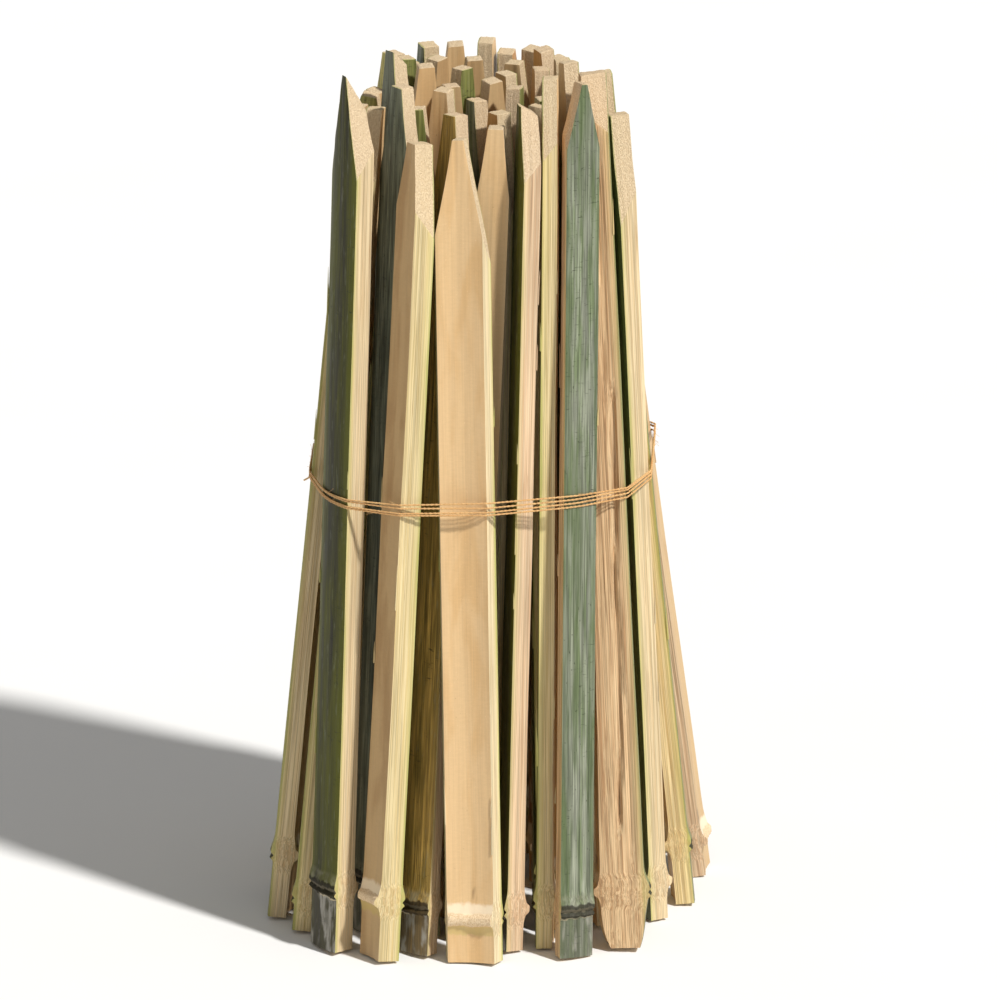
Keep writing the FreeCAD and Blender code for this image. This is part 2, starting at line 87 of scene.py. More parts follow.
# The stakes whose colours can be told apart: bark, pith, split faces, and roughness of the faces in mm.
LOOKS = {
    "outer_stake_01": ("straw", "tan", "cream", 0.16),
    "outer_stake_02": ("straw", "tan", "yellow", 0.16),
    "outer_stake_03": ("dark", "brown", "cream", 0.14),
    "outer_stake_04": ("green", "brown", "yellow", 0.16),
    "outer_stake_05": ("olive", "tan", "pink", 0.18),
    "outer_stake_06": ("green", "tan", "pale", 0.12),
    "outer_stake_07": ("dark", "tan", "pink", 0.16),
    "outer_stake_08": ("green", "tan", "yellow", 0.16),
    "outer_stake_09": ("glaucous", "tan", "brown", 0.20),
    "outer_stake_10": ("green", "brown", "brown", 0.24),
    "outer_stake_11": ("moss", "tan", "cream", 0.18),
    "outer_stake_12": ("green", "tan", "yellow", 0.18),
    "outer_stake_13": ("green", "brown", "pink", 0.20),
    "outer_stake_22": ("straw", "brown", "cream", 0.16),
    "outer_stake_23": ("straw", "tan", "pale", 0.16),
    "outer_stake_24": ("straw", "brown", "cream", 0.16),
    "middle_stake_01": ("slate", "tan", "cream", 0.16),
    "middle_stake_02": ("slate", "brown", "pale", 0.16),
    "middle_stake_07": ("green", "orange", "yellow", 0.14),
}
# Drying cracks in split faces, each with: side, depth under the bark at its lower and upper end, lower and
# upper height, width and how deep it goes.
CRACKS = {
    "outer_stake_08": ((-1, 3.2, 4.4, 22, 120, 0.9, 1.4),),
    "outer_stake_10": (
        (-1, 11.5, 4.6, 58, 300, 1.1, 2.6),
        (-1, 5.0, 6.6, 40, 190, 0.7, 1.2),
        (-1, 7.5, 8.5, 250, 420, 0.7, 1.0),
    ),
}
ROUNDED_FEET = {"outer_stake_10"}
# Ends that are narrower than the rest, as shares of the usual width.
NARROW_ENDS = {"outer_stake_03": 0.5, "outer_stake_06": 0.75, "outer_stake_09": 0.4}
# Ends cut aslant through the wall: fall towards the pith, and the length that it bends.
SLANTED_ENDS = {"outer_stake_03": (1.5, 40.0), "outer_stake_07": (0.6, 14.0), "middle_stake_02": (0.9, 20.0)}

# Colours of the marks that any stake may have, as they look on a screen.
MARKS = {
    "scratch": (40, 46, 26),
    "rubbed wax": (150, 156, 134),
    "bloom": (150, 146, 122),
    "foot": (84, 80, 74),
    "foot wax": (178, 174, 164),
    "scar": (44, 38, 30),
    "crest": (124, 116, 96),
    "scar line": (190, 176, 146),
    "pale grit": (244, 222, 184),
    "dark speck": (136, 92, 52),
    "smudge": (96, 66, 40),
    # painted highlight on the pith where it flares out above the septum
    "gloss_and_painted_highlight": (250, 236, 210),
    # the lip below the pith's septum: its own yellowish colour, darkened as painted shade
    "lip": (196, 176, 104),
    "crumb shade": (204, 174, 134),
    "crumb": (234, 212, 178),
    "streak": (150, 104, 62),
    "outer layer": (206, 196, 124),
    "skin": (158, 164, 84),
    "node": (184, 138, 92),
    "fibre ends": (202, 176, 142),
    "pale fibre ends": (224, 202, 170),
    "pore": (156, 118, 86),
    "cut skin": (150, 162, 76),
}
# What a stake whose colours can't be told apart may have. A name given twice is twice as likely.
LIKELY_BARKS = ("dark", "olive", "glaucous", "slate", "green", "moss", "green", "dark")
LIKELY_PITHS = ("tan", "tan", "orange", "brown")
LIKELY_FACES = ("cream", "yellow", "pink", "pale", "cream", "brown")
LIKELY_ROUGHNESS = (0.12, 0.24)

# Reading the CAD solids: metres and normals.
FOOT_NORMAL = -0.9  # a face whose normal's z is below this belongs to the foot
TOUCHING = 1e-4  # points this near lie on the same plane or circle
ALONG_STAKE = 0.02  # the most that a split face's normal leans along the stake
SAME_WAY, SAME_PLANE = 0.9999, 2e-4  # faces that agree this well are one face
NEARLY_PARALLEL = 0.2  # the normals of two such faces add up to less than this
# The same in a stake's own axes, in mm.
NEAR = 0.1
CREST = 0.5  # the node's ridge stands out from the bark by more than this

# The mesh: how many steps it has across the bark or the pith and through the wall, and how far apart its
# rings are, in mm.
ACROSS, THROUGH = 14, 12
FOOT_STEP, NODE_STEP, PLAIN_STEP, POINT_STEP = 1.5, 0.8, 5.0, 1.6
NODE_REACH = 12.0  # rings are close together this far above and below the node
NODE_LOWEST = 2.0  # but not below this height
POINT_LEAD = 3.0  # and from this far below the point
WALL_MIDDLE = CULM_RADIUS - 4
TIP_REACH = 6.0  # length that the tilt of a tip's cut bends
TIP_TILT, TIP_DROP = 0.08, 0.4  # the most that the cut slopes, and how much lower it is
END_ROUGHNESS = 0.5
SPLINTERS = 5  # on each stake
GRAIN_SPREAD = 400.0  # each stake takes its pattern from its own place, within so many mm
LIGHTNESS = (0.93, 1.05)
STAINING = (0.2, 0.9)
SHARP_ANGLE = 38.0  # degrees

BARK, PITH, FACE, END = range(4)  # the kinds of surface, and their materials' places


class Stake:
    """The axes and sizes of one stake, read from its CAD solid.

    Its own +X goes out through the bark, +Z from its foot to its point, and its origin is on the culm's axis.
    """

    def __init__(self, node, mesh):
        self.node = node
        faces = [(p.normal.copy(), p.center.copy()) for p in mesh.polygons]
        down = sum((p.normal * p.area for p in mesh.polygons if p.normal.z < FOOT_NORMAL), Vector())
        axis = -down.normalized()
        foot = min(v.co.dot(axis) for v in mesh.vertices)
        points = np.array([v.co for v in mesh.vertices])
        low = points[points @ np.array(axis) - foot < TOUCHING]
        origin, outwards = self.find_culm(faces, axis, foot, low)
        self.axes = np.array([outwards, axis.cross(outwards), axis])
        self.origin = np.array(origin)
        self.measure((points - self.origin) @ self.axes.T / MM)

    def find_culm(self, faces, axis, foot, low):
        """The culm's axis, which is where the planes of the two split faces meet, and the way out of it."""
        walls = []
        for normal, centre in faces:
            if abs(normal.dot(axis)) > ALONG_STAKE:
                continue
            if not any(normal.dot(n) > SAME_WAY and abs((centre - c).dot(n)) < SAME_PLANE for n, c in walls):
                walls.append((normal, centre))
        fits = []
        for (n1, c1), (n2, c2) in combinations(walls, 2):
            outwards = -(n1 + n2)
            if outwards.length < NEARLY_PARALLEL:
                continue
            origin = np.linalg.solve(np.array([n1, n2, axis]), [n1.dot(c1), n2.dot(c2), foot])
            reach = np.linalg.norm(low - origin, axis=1)
            misses = np.minimum(np.abs(reach - CULM_RADIUS * MM), np.abs(reach - reach.min()))
            fits.append((misses.max(), tuple(origin), tuple(outwards.normalized())))
        miss, origin, outwards = min(fits)
        if miss > TOUCHING:
            raise ValueError(f"{self.node} isn't a stake")
        return origin, Vector(outwards)

    def measure(self, points):
        """Reads the stake's sizes off its solid's points, given in its own axes, in mm."""
        radius = np.hypot(points[:, 0], points[:, 1])
        angle = np.abs(np.arctan2(points[:, 1], points[:, 0]))
        height = points[:, 2]
        low = height < NEAR
        self.length = height.max()
        high = height > self.length - NEAR
        self.half_angle = angle[low].max()
        self.foot_pith = radius[low].min()
        self.tip_pith = radius[high].min()
        self.tip_half = np.abs(points[high, 1]).max()
        crest = radius > CULM_RADIUS + CREST
        self.level = height[crest].mean()
        self.ridge = radius.max() - CULM_RADIUS
        self.stub = self.pith_at(self.level) - radius[np.abs(height - self.level) < 0.3].min()
        corner = (radius > CULM_RADIUS - NEAR) & (angle > self.half_angle - 1e-3)
        self.shoulder = height[corner].max()
        self.half_width = CULM_RADIUS * math.sin(self.half_angle)

    def pith_at(self, height):
        """Radius of the pith face at one of the stake's own heights."""
        return self.foot_pith + (self.tip_pith - self.foot_pith) * height / self.length

    def to_row(self, points):
        """Points in the stake's own axes, in mm, moved into the object's frame, in metres."""
        return self.origin + (points * MM) @ self.axes

    def section(self, height):
        """Corners of the stake's section at one of its own heights, in the object's frame, in mm."""
        inner = self.pith_at(height)
        angles = np.linspace(-self.half_angle, self.half_angle, 5)
        ring = [(CULM_RADIUS * math.cos(a), CULM_RADIUS * math.sin(a), height) for a in angles]
        ring += [(inner * math.cos(a), inner * math.sin(a), height) for a in angles[[0, -1]]]
        return self.to_row(np.array(ring)) / MM


def ripples(noise, across, along, sizes, drift):
    """Noise that varies quickly across and slowly along, as a sum of drifting waves of about unit size."""
    total = np.zeros(np.broadcast(across, along).shape)
    for size in sizes:
        phase, sway, pace = noise.uniform(0, 2 * math.pi, 3)
        stretch = drift * noise.uniform(0.6, 1.6)
        wander = 1.3 * np.sin(along / stretch + sway) + 0.6 * np.sin(along / (0.37 * stretch) + pace)
        total += np.sin(2 * math.pi * across / size + phase + wander)
    return total / math.sqrt(len(sizes))


def hill(value, middle, reach):
    """1 at a middle, falling to 0 over a few times the reach on both sides."""
    return np.exp(-((value - middle) / reach) ** 2)


def bump(value, low, high):
    """1 between two values, falling smoothly to 0 about one unit outside them."""
    return 1 / (1 + np.exp(-4 * (value - low))) / (1 + np.exp(4 * (value - high)))


def ring_heights(stake):
    """Heights of the mesh's rings: close together at the node and the point."""
    level, shoulder, length = stake.level, stake.shoulder, stake.length
    low = max(level - NODE_REACH, NODE_LOWEST)
    spans = (
        (0.0, low, FOOT_STEP),
        (low, level + NODE_REACH, NODE_STEP),
        (level + NODE_REACH, shoulder - POINT_LEAD, PLAIN_STEP),
        (shoulder - POINT_LEAD, length, POINT_STEP),
    )
    heights = []
    for start, end, step in spans:
        count = max(1, round((end - start) / step))
        heights += list(np.linspace(start, end, count, endpoint=False))
    return np.array(heights + [length])


def stake_profile(stake, heights, rounded, noise):
    """Outer and inner radius at each height, with the node's double ridge and its broken diaphragm."""
    rise = heights - stake.level
    upper = hill(rise, 1.4, np.where(rise > 1.4, 5.5, 2.6))
    lower = hill(rise, -2.4, 1.1)
    groove = hill(rise, -0.5, 0.9)
    ridge = stake.ridge * (0.85 * upper + 0.75 * lower)
    ridge -= 0.35 * stake.ridge * groove
    swelling = hill(rise, 0, np.where(rise > 0, 7.0, 5.0))
    stub = stake.stub * (0.42 * bump(rise, -2.6, 2.4) + 0.55 * swelling)
    outer = CULM_RADIUS + ridge
    inner = stake.pith_at(heights) - stub
    if rounded:
        under = np.clip(1 - heights / (stake.level - 2), 0, 1)
        outer = outer - 3.4 * under ** 3
        inner = inner + 4.6 * under ** 3
        outer = outer + 1.8 * hill(rise, -2, 8)
    outer = outer + 0.12 * np.sin(heights / 37 + noise.uniform(0, 6))
    inner = inner + 0.15 * np.sin(heights / 29 + noise.uniform(0, 6))
    return outer, inner


def stake_rings(stake, heights, noise, rough):
    """The points of every ring, and how far each lies past the plane that cuts the point, if above 0."""
    outer, inner = stake_profile(stake, heights, stake.node in ROUNDED_FEET, noise)
    tip_half = stake.tip_half * NARROW_ENDS.get(stake.node, 1.0)
    slope = (stake.half_width - tip_half) / (stake.length - stake.shoulder)
    cut = stake.half_width - slope * (heights - stake.shoulder)
    cut = cut - 0.25 * np.sin(np.clip((stake.length - heights) / 11, 0, 6))
    flare = 0.5 * hill(heights, stake.level, 8)
    tangent = math.tan(stake.half_angle)
    rim = np.minimum(outer * math.sin(stake.half_angle), cut)
    lip = np.minimum(inner * math.sin(stake.half_angle), cut)
    rim_x = np.sqrt(outer ** 2 - rim ** 2)
    lip_x = np.sqrt(inner ** 2 - lip ** 2)
    share = np.linspace(0, 1, THROUGH + 1)
    sweep = np.linspace(-1, 1, ACROSS + 1)

    bark_turn = np.arcsin(rim / outer)[:, None] * sweep
    pith_turn = np.arcsin(lip / inner)[:, None] * -sweep
    tall = heights[:, None]
    rise = tall - stake.level
    node_zone = hill(rise, -1, 7)

    swell = 0.10 * ripples(noise, bark_turn * CULM_RADIUS, tall, (3.1, 5.3, 8.7), 60)
    swell += 0.14 * node_zone * ripples(noise, bark_turn * CULM_RADIUS, tall, (4.3, 7.1), 5)
    bark_r = outer[:, None] + swell - 0.25 * np.abs(sweep) ** 12
    dent = 0.10 * ripples(noise, pith_turn * CULM_RADIUS, tall, (4.1, 7.3, 12.7), 40)
    broken = bump(rise, -2.4, 2.2)
    dent = dent + broken * 0.30 * ripples(noise, pith_turn * CULM_RADIUS, tall * 2, (2.3, 3.7, 6.9), 4)
    pith_r = inner[:, None] + dent + 0.2 * np.abs(sweep) ** 12

    def side(sign):
        """One split face: its fibres stand out, more at the node, and its cracks go in."""
        x = rim_x[:, None] + (lip_x - rim_x)[:, None] * share
        past = x * tangent - cut[:, None]
        y = np.minimum(x * tangent, cut[:, None])
        depth = CULM_RADIUS - np.hypot(x, y)
        fibres = ripples(noise, depth, tall, (1.1, 1.7, 2.9, 4.7), 55)
        swirl = node_zone * ripples(noise, depth, tall, (3.3, 5.7), 9)
        plain = past < 0
        lift = np.where(plain, rough * fibres + 0.14 * swirl, 0.12 * fibres)
        lift += np.where(plain, flare[:, None], 0) - rough * 0.6
        for crack_side, low_depth, high_depth, low, high, width, deep in CRACKS.get(stake.node, ()):
            if crack_side != sign:
                continue
            along = np.clip((tall - low) / (high - low), 0, 1)
            line = low_depth + (high_depth - low_depth) * along + 0.5 * np.sin(tall / 23)
            ends = np.clip(np.minimum(tall - low, high - tall) / 12, 0, 1)
            lift -= deep * ends * hill(depth, line, width)
        lift = lift * np.minimum(1, 6 * np.minimum(share, 1 - share))
        return x - lift * stake.half_width / CULM_RADIUS, (y + lift) * sign, past

    def arc(radius, turn):
        """The bark or the pith face."""
        x, y = radius * np.cos(turn), radius * np.sin(turn)
        return x, y, x * tangent - cut[:, None]

    bark = arc(bark_r, bark_turn)
    pith = arc(pith_r, pith_turn)
    right, left = side(1), side(-1)
    inside = slice(1, THROUGH)
    columns = []
    for part in range(3):
        columns.append(np.hstack([
            bark[part],
            right[part][:, inside],
            pith[part],
            left[part][:, inside][:, ::-1],
        ]))
    x, y, past = columns
    points = np.dstack([x, y, np.broadcast_to(tall, x.shape)])
    return points, past


def cap_grid(ring, noise):
    """Inner points of an end face, spread between its bark and its pith edge and roughened."""
    bark = ring[: ACROSS + 1]
    pith = ring[ACROSS + THROUGH : 2 * ACROSS + THROUGH + 1][::-1]
    rows = []
    for step in range(1, THROUGH):
        share = step / THROUGH
        row = bark[1:-1] * (1 - share) + pith[1:-1] * share
        row[:, 2] += END_ROUGHNESS * noise.uniform(0.2, 1.0, len(row))
        rows.append(row)
    return np.array(rows)


def cap_index(base, first, step, column):
    """Index of a cap grid's point: one of the ring's own points at the border, else an inner point."""
    size = 2 * (ACROSS + THROUGH)
    if step == 0:
        return base + column
    if step == THROUGH:
        return base + 2 * ACROSS + THROUGH - column
    if column == ACROSS:
        return base + ACROSS + step
    if column == 0:
        return base + (size - step) % size
    return first + (step - 1) * (ACROSS - 1) + column - 1


def near_tip(stake, rings, reach):
    """0 up to so many mm below the tip, rising evenly to 1 at it."""
    return np.clip((rings[:, :, 2] - stake.length + reach) / reach, 0, 1)


def tilt_tip(stake, rings, noise):
    """Tilts the cut at the tip a little, and cuts it aslant through the wall where the stake's own is so."""
    slant = noise.uniform(-TIP_TILT, TIP_TILT, 2)
    change = slant[0] * rings[:, :, 1] + slant[1] * (rings[:, :, 0] - WALL_MIDDLE) - TIP_DROP
    rings[:, :, 2] += near_tip(stake, rings, TIP_REACH) * change
    if stake.node in SLANTED_ENDS:
        fall, reach = SLANTED_ENDS[stake.node]
        depth = CULM_RADIUS - np.hypot(rings[:, :, 0], rings[:, :, 1])
        rings[:, :, 2] -= near_tip(stake, rings, reach) * fall * depth


def stake_faces(count):
    """The four-sided faces of a mesh of so many rings and its two ends, and the kind of surface of each."""
    size = 2 * (ACROSS + THROUGH)
    row, column = np.meshgrid(np.arange(count - 1), np.arange(size), indexing="ij")
    here, above = row * size, (row + 1) * size
    after = (column + 1) % size
    quads = np.stack([here + column, here + after, above + after, above + column], axis=-1).reshape(-1, 4)
    round_ring = np.repeat([BARK, FACE, PITH, FACE], [ACROSS, THROUGH, ACROSS, THROUGH])
    zones = np.broadcast_to(round_ring, row.shape).reshape(-1)
    tip_first = count * size
    foot_first = tip_first + (THROUGH - 1) * (ACROSS - 1)
    caps = []
    for base, first, order in (((count - 1) * size, tip_first, 1), (0, foot_first, -1)):
        for step in range(THROUGH):
            for col in range(ACROSS):
                corners = ((step, col), (step, col + 1), (step + 1, col + 1), (step + 1, col))
                caps.append([cap_index(base, first, *corner) for corner in corners][::order])
    return np.vstack([quads, np.array(caps)]), np.concatenate([zones, np.full(len(caps), END)])


def build_stake(stake, look, noise):
    """A mesh of one stake, with its colours and its patterns' coordinates as attributes."""
    *colours, rough = look
    heights = ring_heights(stake)
    rings, past = stake_rings(stake, heights, noise, rough)
    tilt_tip(stake, rings, noise)
    tip = cap_grid(rings[-1], noise)
    foot = cap_grid(rings[0], noise)
    points = np.vstack([rings.reshape(-1, 3), tip.reshape(-1, 3), foot.reshape(-1, 3)])
    past = np.concatenate([past.reshape(-1), np.ones(len(points) - past.size)])
    quads, zones = stake_faces(len(heights))
    points, quads, zones, past = add_splinters(stake, points, quads, zones, past, noise)

    mesh = bpy.data.meshes.new(f"{stake.node}_bamboo")
    mesh.from_pydata(stake.to_row(points).tolist(), [], quads.tolist())
    mesh.polygons.foreach_set("material_index", zones.astype(np.int32))
    radius = np.hypot(points[:, 0], points[:, 1])
    turn = np.arctan2(points[:, 1], points[:, 0])
    strip = np.stack([turn * CULM_RADIUS, CULM_RADIUS - radius, points[:, 2] - stake.level], axis=1)
    add_attribute(mesh, "strip", "FLOAT_VECTOR", "POINT", strip)
    add_attribute(mesh, "grain", "FLOAT_VECTOR", "POINT", strip + noise.uniform(0, GRAIN_SPREAD, 3))
    add_attribute(mesh, "past_cut", "FLOAT", "POINT", past)
    add_colours(mesh, colours, zones, noise)
    mesh.shade_smooth()
    mesh.set_sharp_from_angle(angle=math.radians(SHARP_ANGLE))
    return mesh


def add_colours(mesh, colours, zones, noise):
    """Adds each face's two colours. Their alphas say how blotchy, stained or green, and how waxy, it is."""
    bark, pith, face = colours
    bark_tone, bark_patch, blotchy, wax = BARKS[bark]
    pith_tone, pith_patch = PITHS[pith]
    face_tone, face_patch, green = FACES[face]
    light = noise.uniform(*LIGHTNESS)
    fibres = ((*linear(*face_tone), green), (*linear(*face_patch), 1.0))
    tones = {
        BARK: ((*linear(*bark_tone), blotchy), (*linear(*bark_patch), wax)),
        PITH: ((*linear(*pith_tone), noise.uniform(*STAINING)), (*linear(*pith_patch), 1.0)),
        FACE: fibres,
        END: fibres,
    }
    for number, name in enumerate(("tone", "patch")):
        table = np.array([tones[zone][number] for zone in (BARK, PITH, FACE, END)])
        table[:, :3] *= light
        add_attribute(mesh, name, "FLOAT_COLOR", "CORNER", np.repeat(table[zones], 4, axis=0))


def add_attribute(mesh, name, kind, domain, values):
    field = {"FLOAT_VECTOR": "vector", "FLOAT_COLOR": "color", "FLOAT": "value"}[kind]
    attribute = mesh.attributes.new(name, kind, domain)
    attribute.data.foreach_set(field, np.ascontiguousarray(values, np.float32).ravel())


def add_splinters(stake, points, quads, zones, past, noise):
    """Thin fibres torn loose along the split edges."""
    new_points, new_quads = [], []
    for _ in range(SPLINTERS):
        sign = noise.choice((-1, 1))
        low = noise.uniform(stake.level + 15, stake.shoulder - 40)
        long = noise.uniform(8, 26)
        inner = noise.random() < 0.6
        radius = stake.pith_at(low) if inner else CULM_RADIUS
        across = radius * math.sin(stake.half_angle)
        corner = np.array([radius * math.cos(stake.half_angle), sign * across, 0])
        away = np.array([-0.6 if inner else 0.6, sign * 0.5, 0]) * noise.uniform(0.2, 0.7)
        base = len(points) + len(new_points)
        for share, thick in ((0, 0.35), (0.5, 0.28), (1, 0.05)):
            centre = corner + away * share ** 2 * 1.4 + np.array([0, 0, low + long * share])
            for dx, dy in ((-thick, -thick), (thick, -thick), (thick, thick), (-thick, thick)):
                new_points.append(centre + np.array([dx, dy, 0]))
        for step in range(2):
            for side in range(4):
                a, b = base + 4 * step + side, base + 4 * step + (side + 1) % 4
                new_quads.append([a, b, b + 4, a + 4])
        new_quads.append([base + 3, base + 2, base + 1, base])
        new_quads.append([base + 8, base + 9, base + 10, base + 11])
    points = np.vstack([points, np.array(new_points)])
    quads = np.vstack([quads, np.array(new_quads)])
    zones = np.concatenate([zones, np.full(len(new_quads), FACE)])
    past = np.concatenate([past, np.full(len(new_points), -5.0)])
    return points, quads, zones, past


def mark(name):
    return linear(*MARKS[name])


class Graph:
    """A material and short names for the nodes that it is made of."""

    def __init__(self, name):
        self.material = bpy.data.materials.new(name)
        self.material.use_nodes = True
        self.tree = self.material.node_tree
        self.shader = self.tree.nodes["Principled BSDF"]

    def put(self, socket, value):
        """Links another node's output to a socket, or sets a number or a colour on it."""
        if isinstance(value, bpy.types.NodeSocket):
            self.tree.links.new(value, socket)
        elif isinstance(value, tuple) and len(value) == 3 and socket.type == "RGBA":
            socket.default_value = (*value, 1.0)
        else:
            socket.default_value = value

    def attribute(self, name, output="Color"):
        node = self.tree.nodes.new("ShaderNodeAttribute")
        node.attribute_name = name
        return node.outputs[output]

    def split(self, vector):
        node = self.tree.nodes.new("ShaderNodeSeparateXYZ")
        self.put(node.inputs[0], vector)
        return node.outputs

    def vector(self, operation, a, b):
        node = self.tree.nodes.new("ShaderNodeVectorMath")
        node.operation = operation
        self.put(node.inputs[0], a)
        self.put(node.inputs[1], b)
        return node.outputs[0]

    def grainwise(self, vector, across, along):
        """Coordinates for a pattern whose spots are so many mm wide and long."""
        return self.vector("MULTIPLY", vector, (1 / across, 1 / across, 1 / along))

    def noise(self, vector, detail=2.0, distortion=0.0, output="Fac"):
        node = self.tree.nodes.new("ShaderNodeTexNoise")
        node.inputs["Scale"].default_value = 1.0
        node.inputs["Detail"].default_value = detail
        node.inputs["Distortion"].default_value = distortion
        self.put(node.inputs["Vector"], vector)
        return node.outputs[output]

    def cells(self, vector):
        node = self.tree.nodes.new("ShaderNodeTexVoronoi")
        node.inputs["Scale"].default_value = 1.0
        self.put(node.inputs["Vector"], vector)
        return node.outputs["Distance"]

    def math(self, operation, a, b=0.0):
        node = self.tree.nodes.new("ShaderNodeMath")
        node.operation = operation
        self.put(node.inputs[0], a)
        self.put(node.inputs[1], b)
        return node.outputs[0]

    def times(self, *values):
        total = values[0]
        for value in values[1:]:
            total = self.math("MULTIPLY", total, value)
        return total

    def ramp(self, value, low, high, start=0.0, end=1.0):
        """start below low, end above high, smooth between."""
        node = self.tree.nodes.new("ShaderNodeMapRange")
        node.interpolation_type = "SMOOTHSTEP"
        self.put(node.inputs["Value"], value)
        if low > high:
            low, high, start, end = high, low, end, start
        for name, number in (("From Min", low), ("From Max", high), ("To Min", start), ("To Max", end)):
            node.inputs[name].default_value = number
        return node.outputs["Result"]

    def within(self, value, low, high, soft):
        """1 between two values, 0 beyond soft edges outside them."""
        return self.times(self.ramp(value, low - soft, low), self.ramp(value, high + soft, high))

    def mix(self, share, a, b):
        node = self.tree.nodes.new("ShaderNodeMix")
        node.data_type = "RGBA"
        sockets = [s for s in node.inputs if s.type == "RGBA"]
        self.put(node.inputs[0], share)
        self.put(sockets[0], a)
        self.put(sockets[1], b)
        return next(s for s in node.outputs if s.type == "RGBA")

    def dim(self, colour, share):
        """A colour made darker or lighter by a varying factor."""
        return self.vector("MULTIPLY", colour, self.joined(share))

    def joined(self, value):
        """A vector with the same value three times."""
        node = self.tree.nodes.new("ShaderNodeCombineXYZ")
        for socket in node.inputs:
            self.put(socket, value)
        return node.outputs[0]

    def finish(self, colour, roughness, height, depth):
        """Sets the surface, with a relief of so many metres."""
        node = self.tree.nodes.new("ShaderNodeBump")
        node.inputs["Strength"].default_value = 1.0
        node.inputs["Distance"].default_value = depth
        self.put(node.inputs["Height"], height)
        self.put(self.shader.inputs["Base Color"], colour)
        self.put(self.shader.inputs["Roughness"], roughness)
        self.put(self.shader.inputs["Normal"], node.outputs[0])
        return self.material


def bark_material():
    """Bark with its fibres, blotches and scratches, and a dark scar round the node with dirt below it."""
    g = Graph("bamboo_bark")
    grain = g.attribute("grain", "Vector")
    rise = g.split(g.attribute("strip", "Vector"))[2]
    blotchy = g.attribute("tone", "Alpha")
    wax = g.attribute("patch", "Alpha")
    fine = g.noise(g.grainwise(grain, 0.7, 90), 3)
    broad = g.noise(g.grainwise(grain, 2.6, 120), 2)
    blotch = g.noise(g.grainwise(grain, 3.0, 34), 7, 0.3)
    colour = g.mix(g.times(g.ramp(blotch, 0.38, 0.66), blotchy), g.attribute("tone"), g.attribute("patch"))
    hair = g.noise(g.grainwise(grain, 0.55, 30), 4, 0.2)
    colour = g.dim(colour, g.ramp(fine, 0.3, 0.7, 0.70, 1.22))
    colour = g.dim(colour, g.ramp(broad, 0.35, 0.65, 0.84, 1.12))
    colour = g.dim(colour, g.ramp(hair, 0.43, 0.57, 0.74, 1.20))
    arc = g.math("ABSOLUTE", g.split(g.attribute("strip", "Vector"))[0])
    paler = g.noise(g.grainwise(grain, 9, 160), 2)
    colour = g.mix(g.times(g.ramp(paler, 0.45, 0.62), 0.4), colour, g.attribute("patch"))
    colour = g.mix(g.ramp(arc, 5.0, 13.0, 0.0, 0.65), colour, g.attribute("patch"))
    patchy = g.noise(g.grainwise(grain, 16, 46), 2)
    scratch = g.noise(g.grainwise(grain, 5.0, 0.8), 2, 1.6)
    scratches = g.times(g.ramp(scratch, 0.66, 0.70), g.ramp(patchy, 0.45, 0.56))
    speck = g.ramp(g.noise(g.grainwise(grain, 1.0, 2.2), 2), 0.70, 0.78)
    colour = g.mix(g.times(g.math("MAXIMUM", scratches, speck), 0.75), colour, mark("scratch"))
    rub = g.times(g.ramp(g.noise(g.grainwise(grain, 1.6, 9), 5), 0.58, 0.74), wax, 0.22)
    colour = g.mix(rub, colour, mark("rubbed wax"))
    edge = g.noise(g.grainwise(grain, 4, 6), 4)
    wavy = g.math("ADD", rise, g.ramp(edge, 0.2, 0.8, -1.1, 1.1))
    bloom = g.times(g.within(wavy, 4.6, 7.0, 3.0), wax, g.ramp(edge, 0.35, 0.7, 0.1, 0.7))
    colour = g.mix(bloom, colour, mark("bloom"))
    foot = g.times(g.ramp(wavy, -2.5, -4.5), wax)
    colour = g.mix(g.times(foot, 0.75), colour, mark("foot"))
    spill = g.noise(g.grainwise(grain, 4.0, 15), 5, 0.3)
    colour = g.mix(g.times(foot, g.ramp(spill, 0.46, 0.66), 0.85), colour, mark("foot wax"))
    scar = g.within(wavy, -3.4, 2.8, 1.2)
    colour = g.mix(g.times(scar, 0.86), colour, mark("scar"))
    crest = g.times(g.within(wavy, -0.2, 0.8, 0.8), g.ramp(edge, 0.3, 0.6, 0.2, 0.6))
    colour = g.mix(crest, colour, mark("crest"))
    line = g.times(g.within(wavy, -4.4, -3.9, 0.35), g.ramp(patchy, 0.42, 0.55), wax)
    colour = g.mix(line, colour, mark("scar line"))
    rough = g.ramp(g.math("ADD", g.times(fine, 0.5), g.times(blotch, 0.5)), 0.3, 0.7, 0.42, 0.62)
    rough = g.math("ADD", rough, g.times(g.math("ADD", scar, foot), 0.2))
    g.shader.inputs["Specular IOR Level"].default_value = 0.22
    relief = g.math("ADD", g.times(fine, 0.5), g.times(g.math("MAXIMUM", scratches, speck), -0.6))
    relief = g.math("ADD", relief, g.times(scar, edge, 3.0))
    return g.finish(colour, rough, relief, 0.00018)


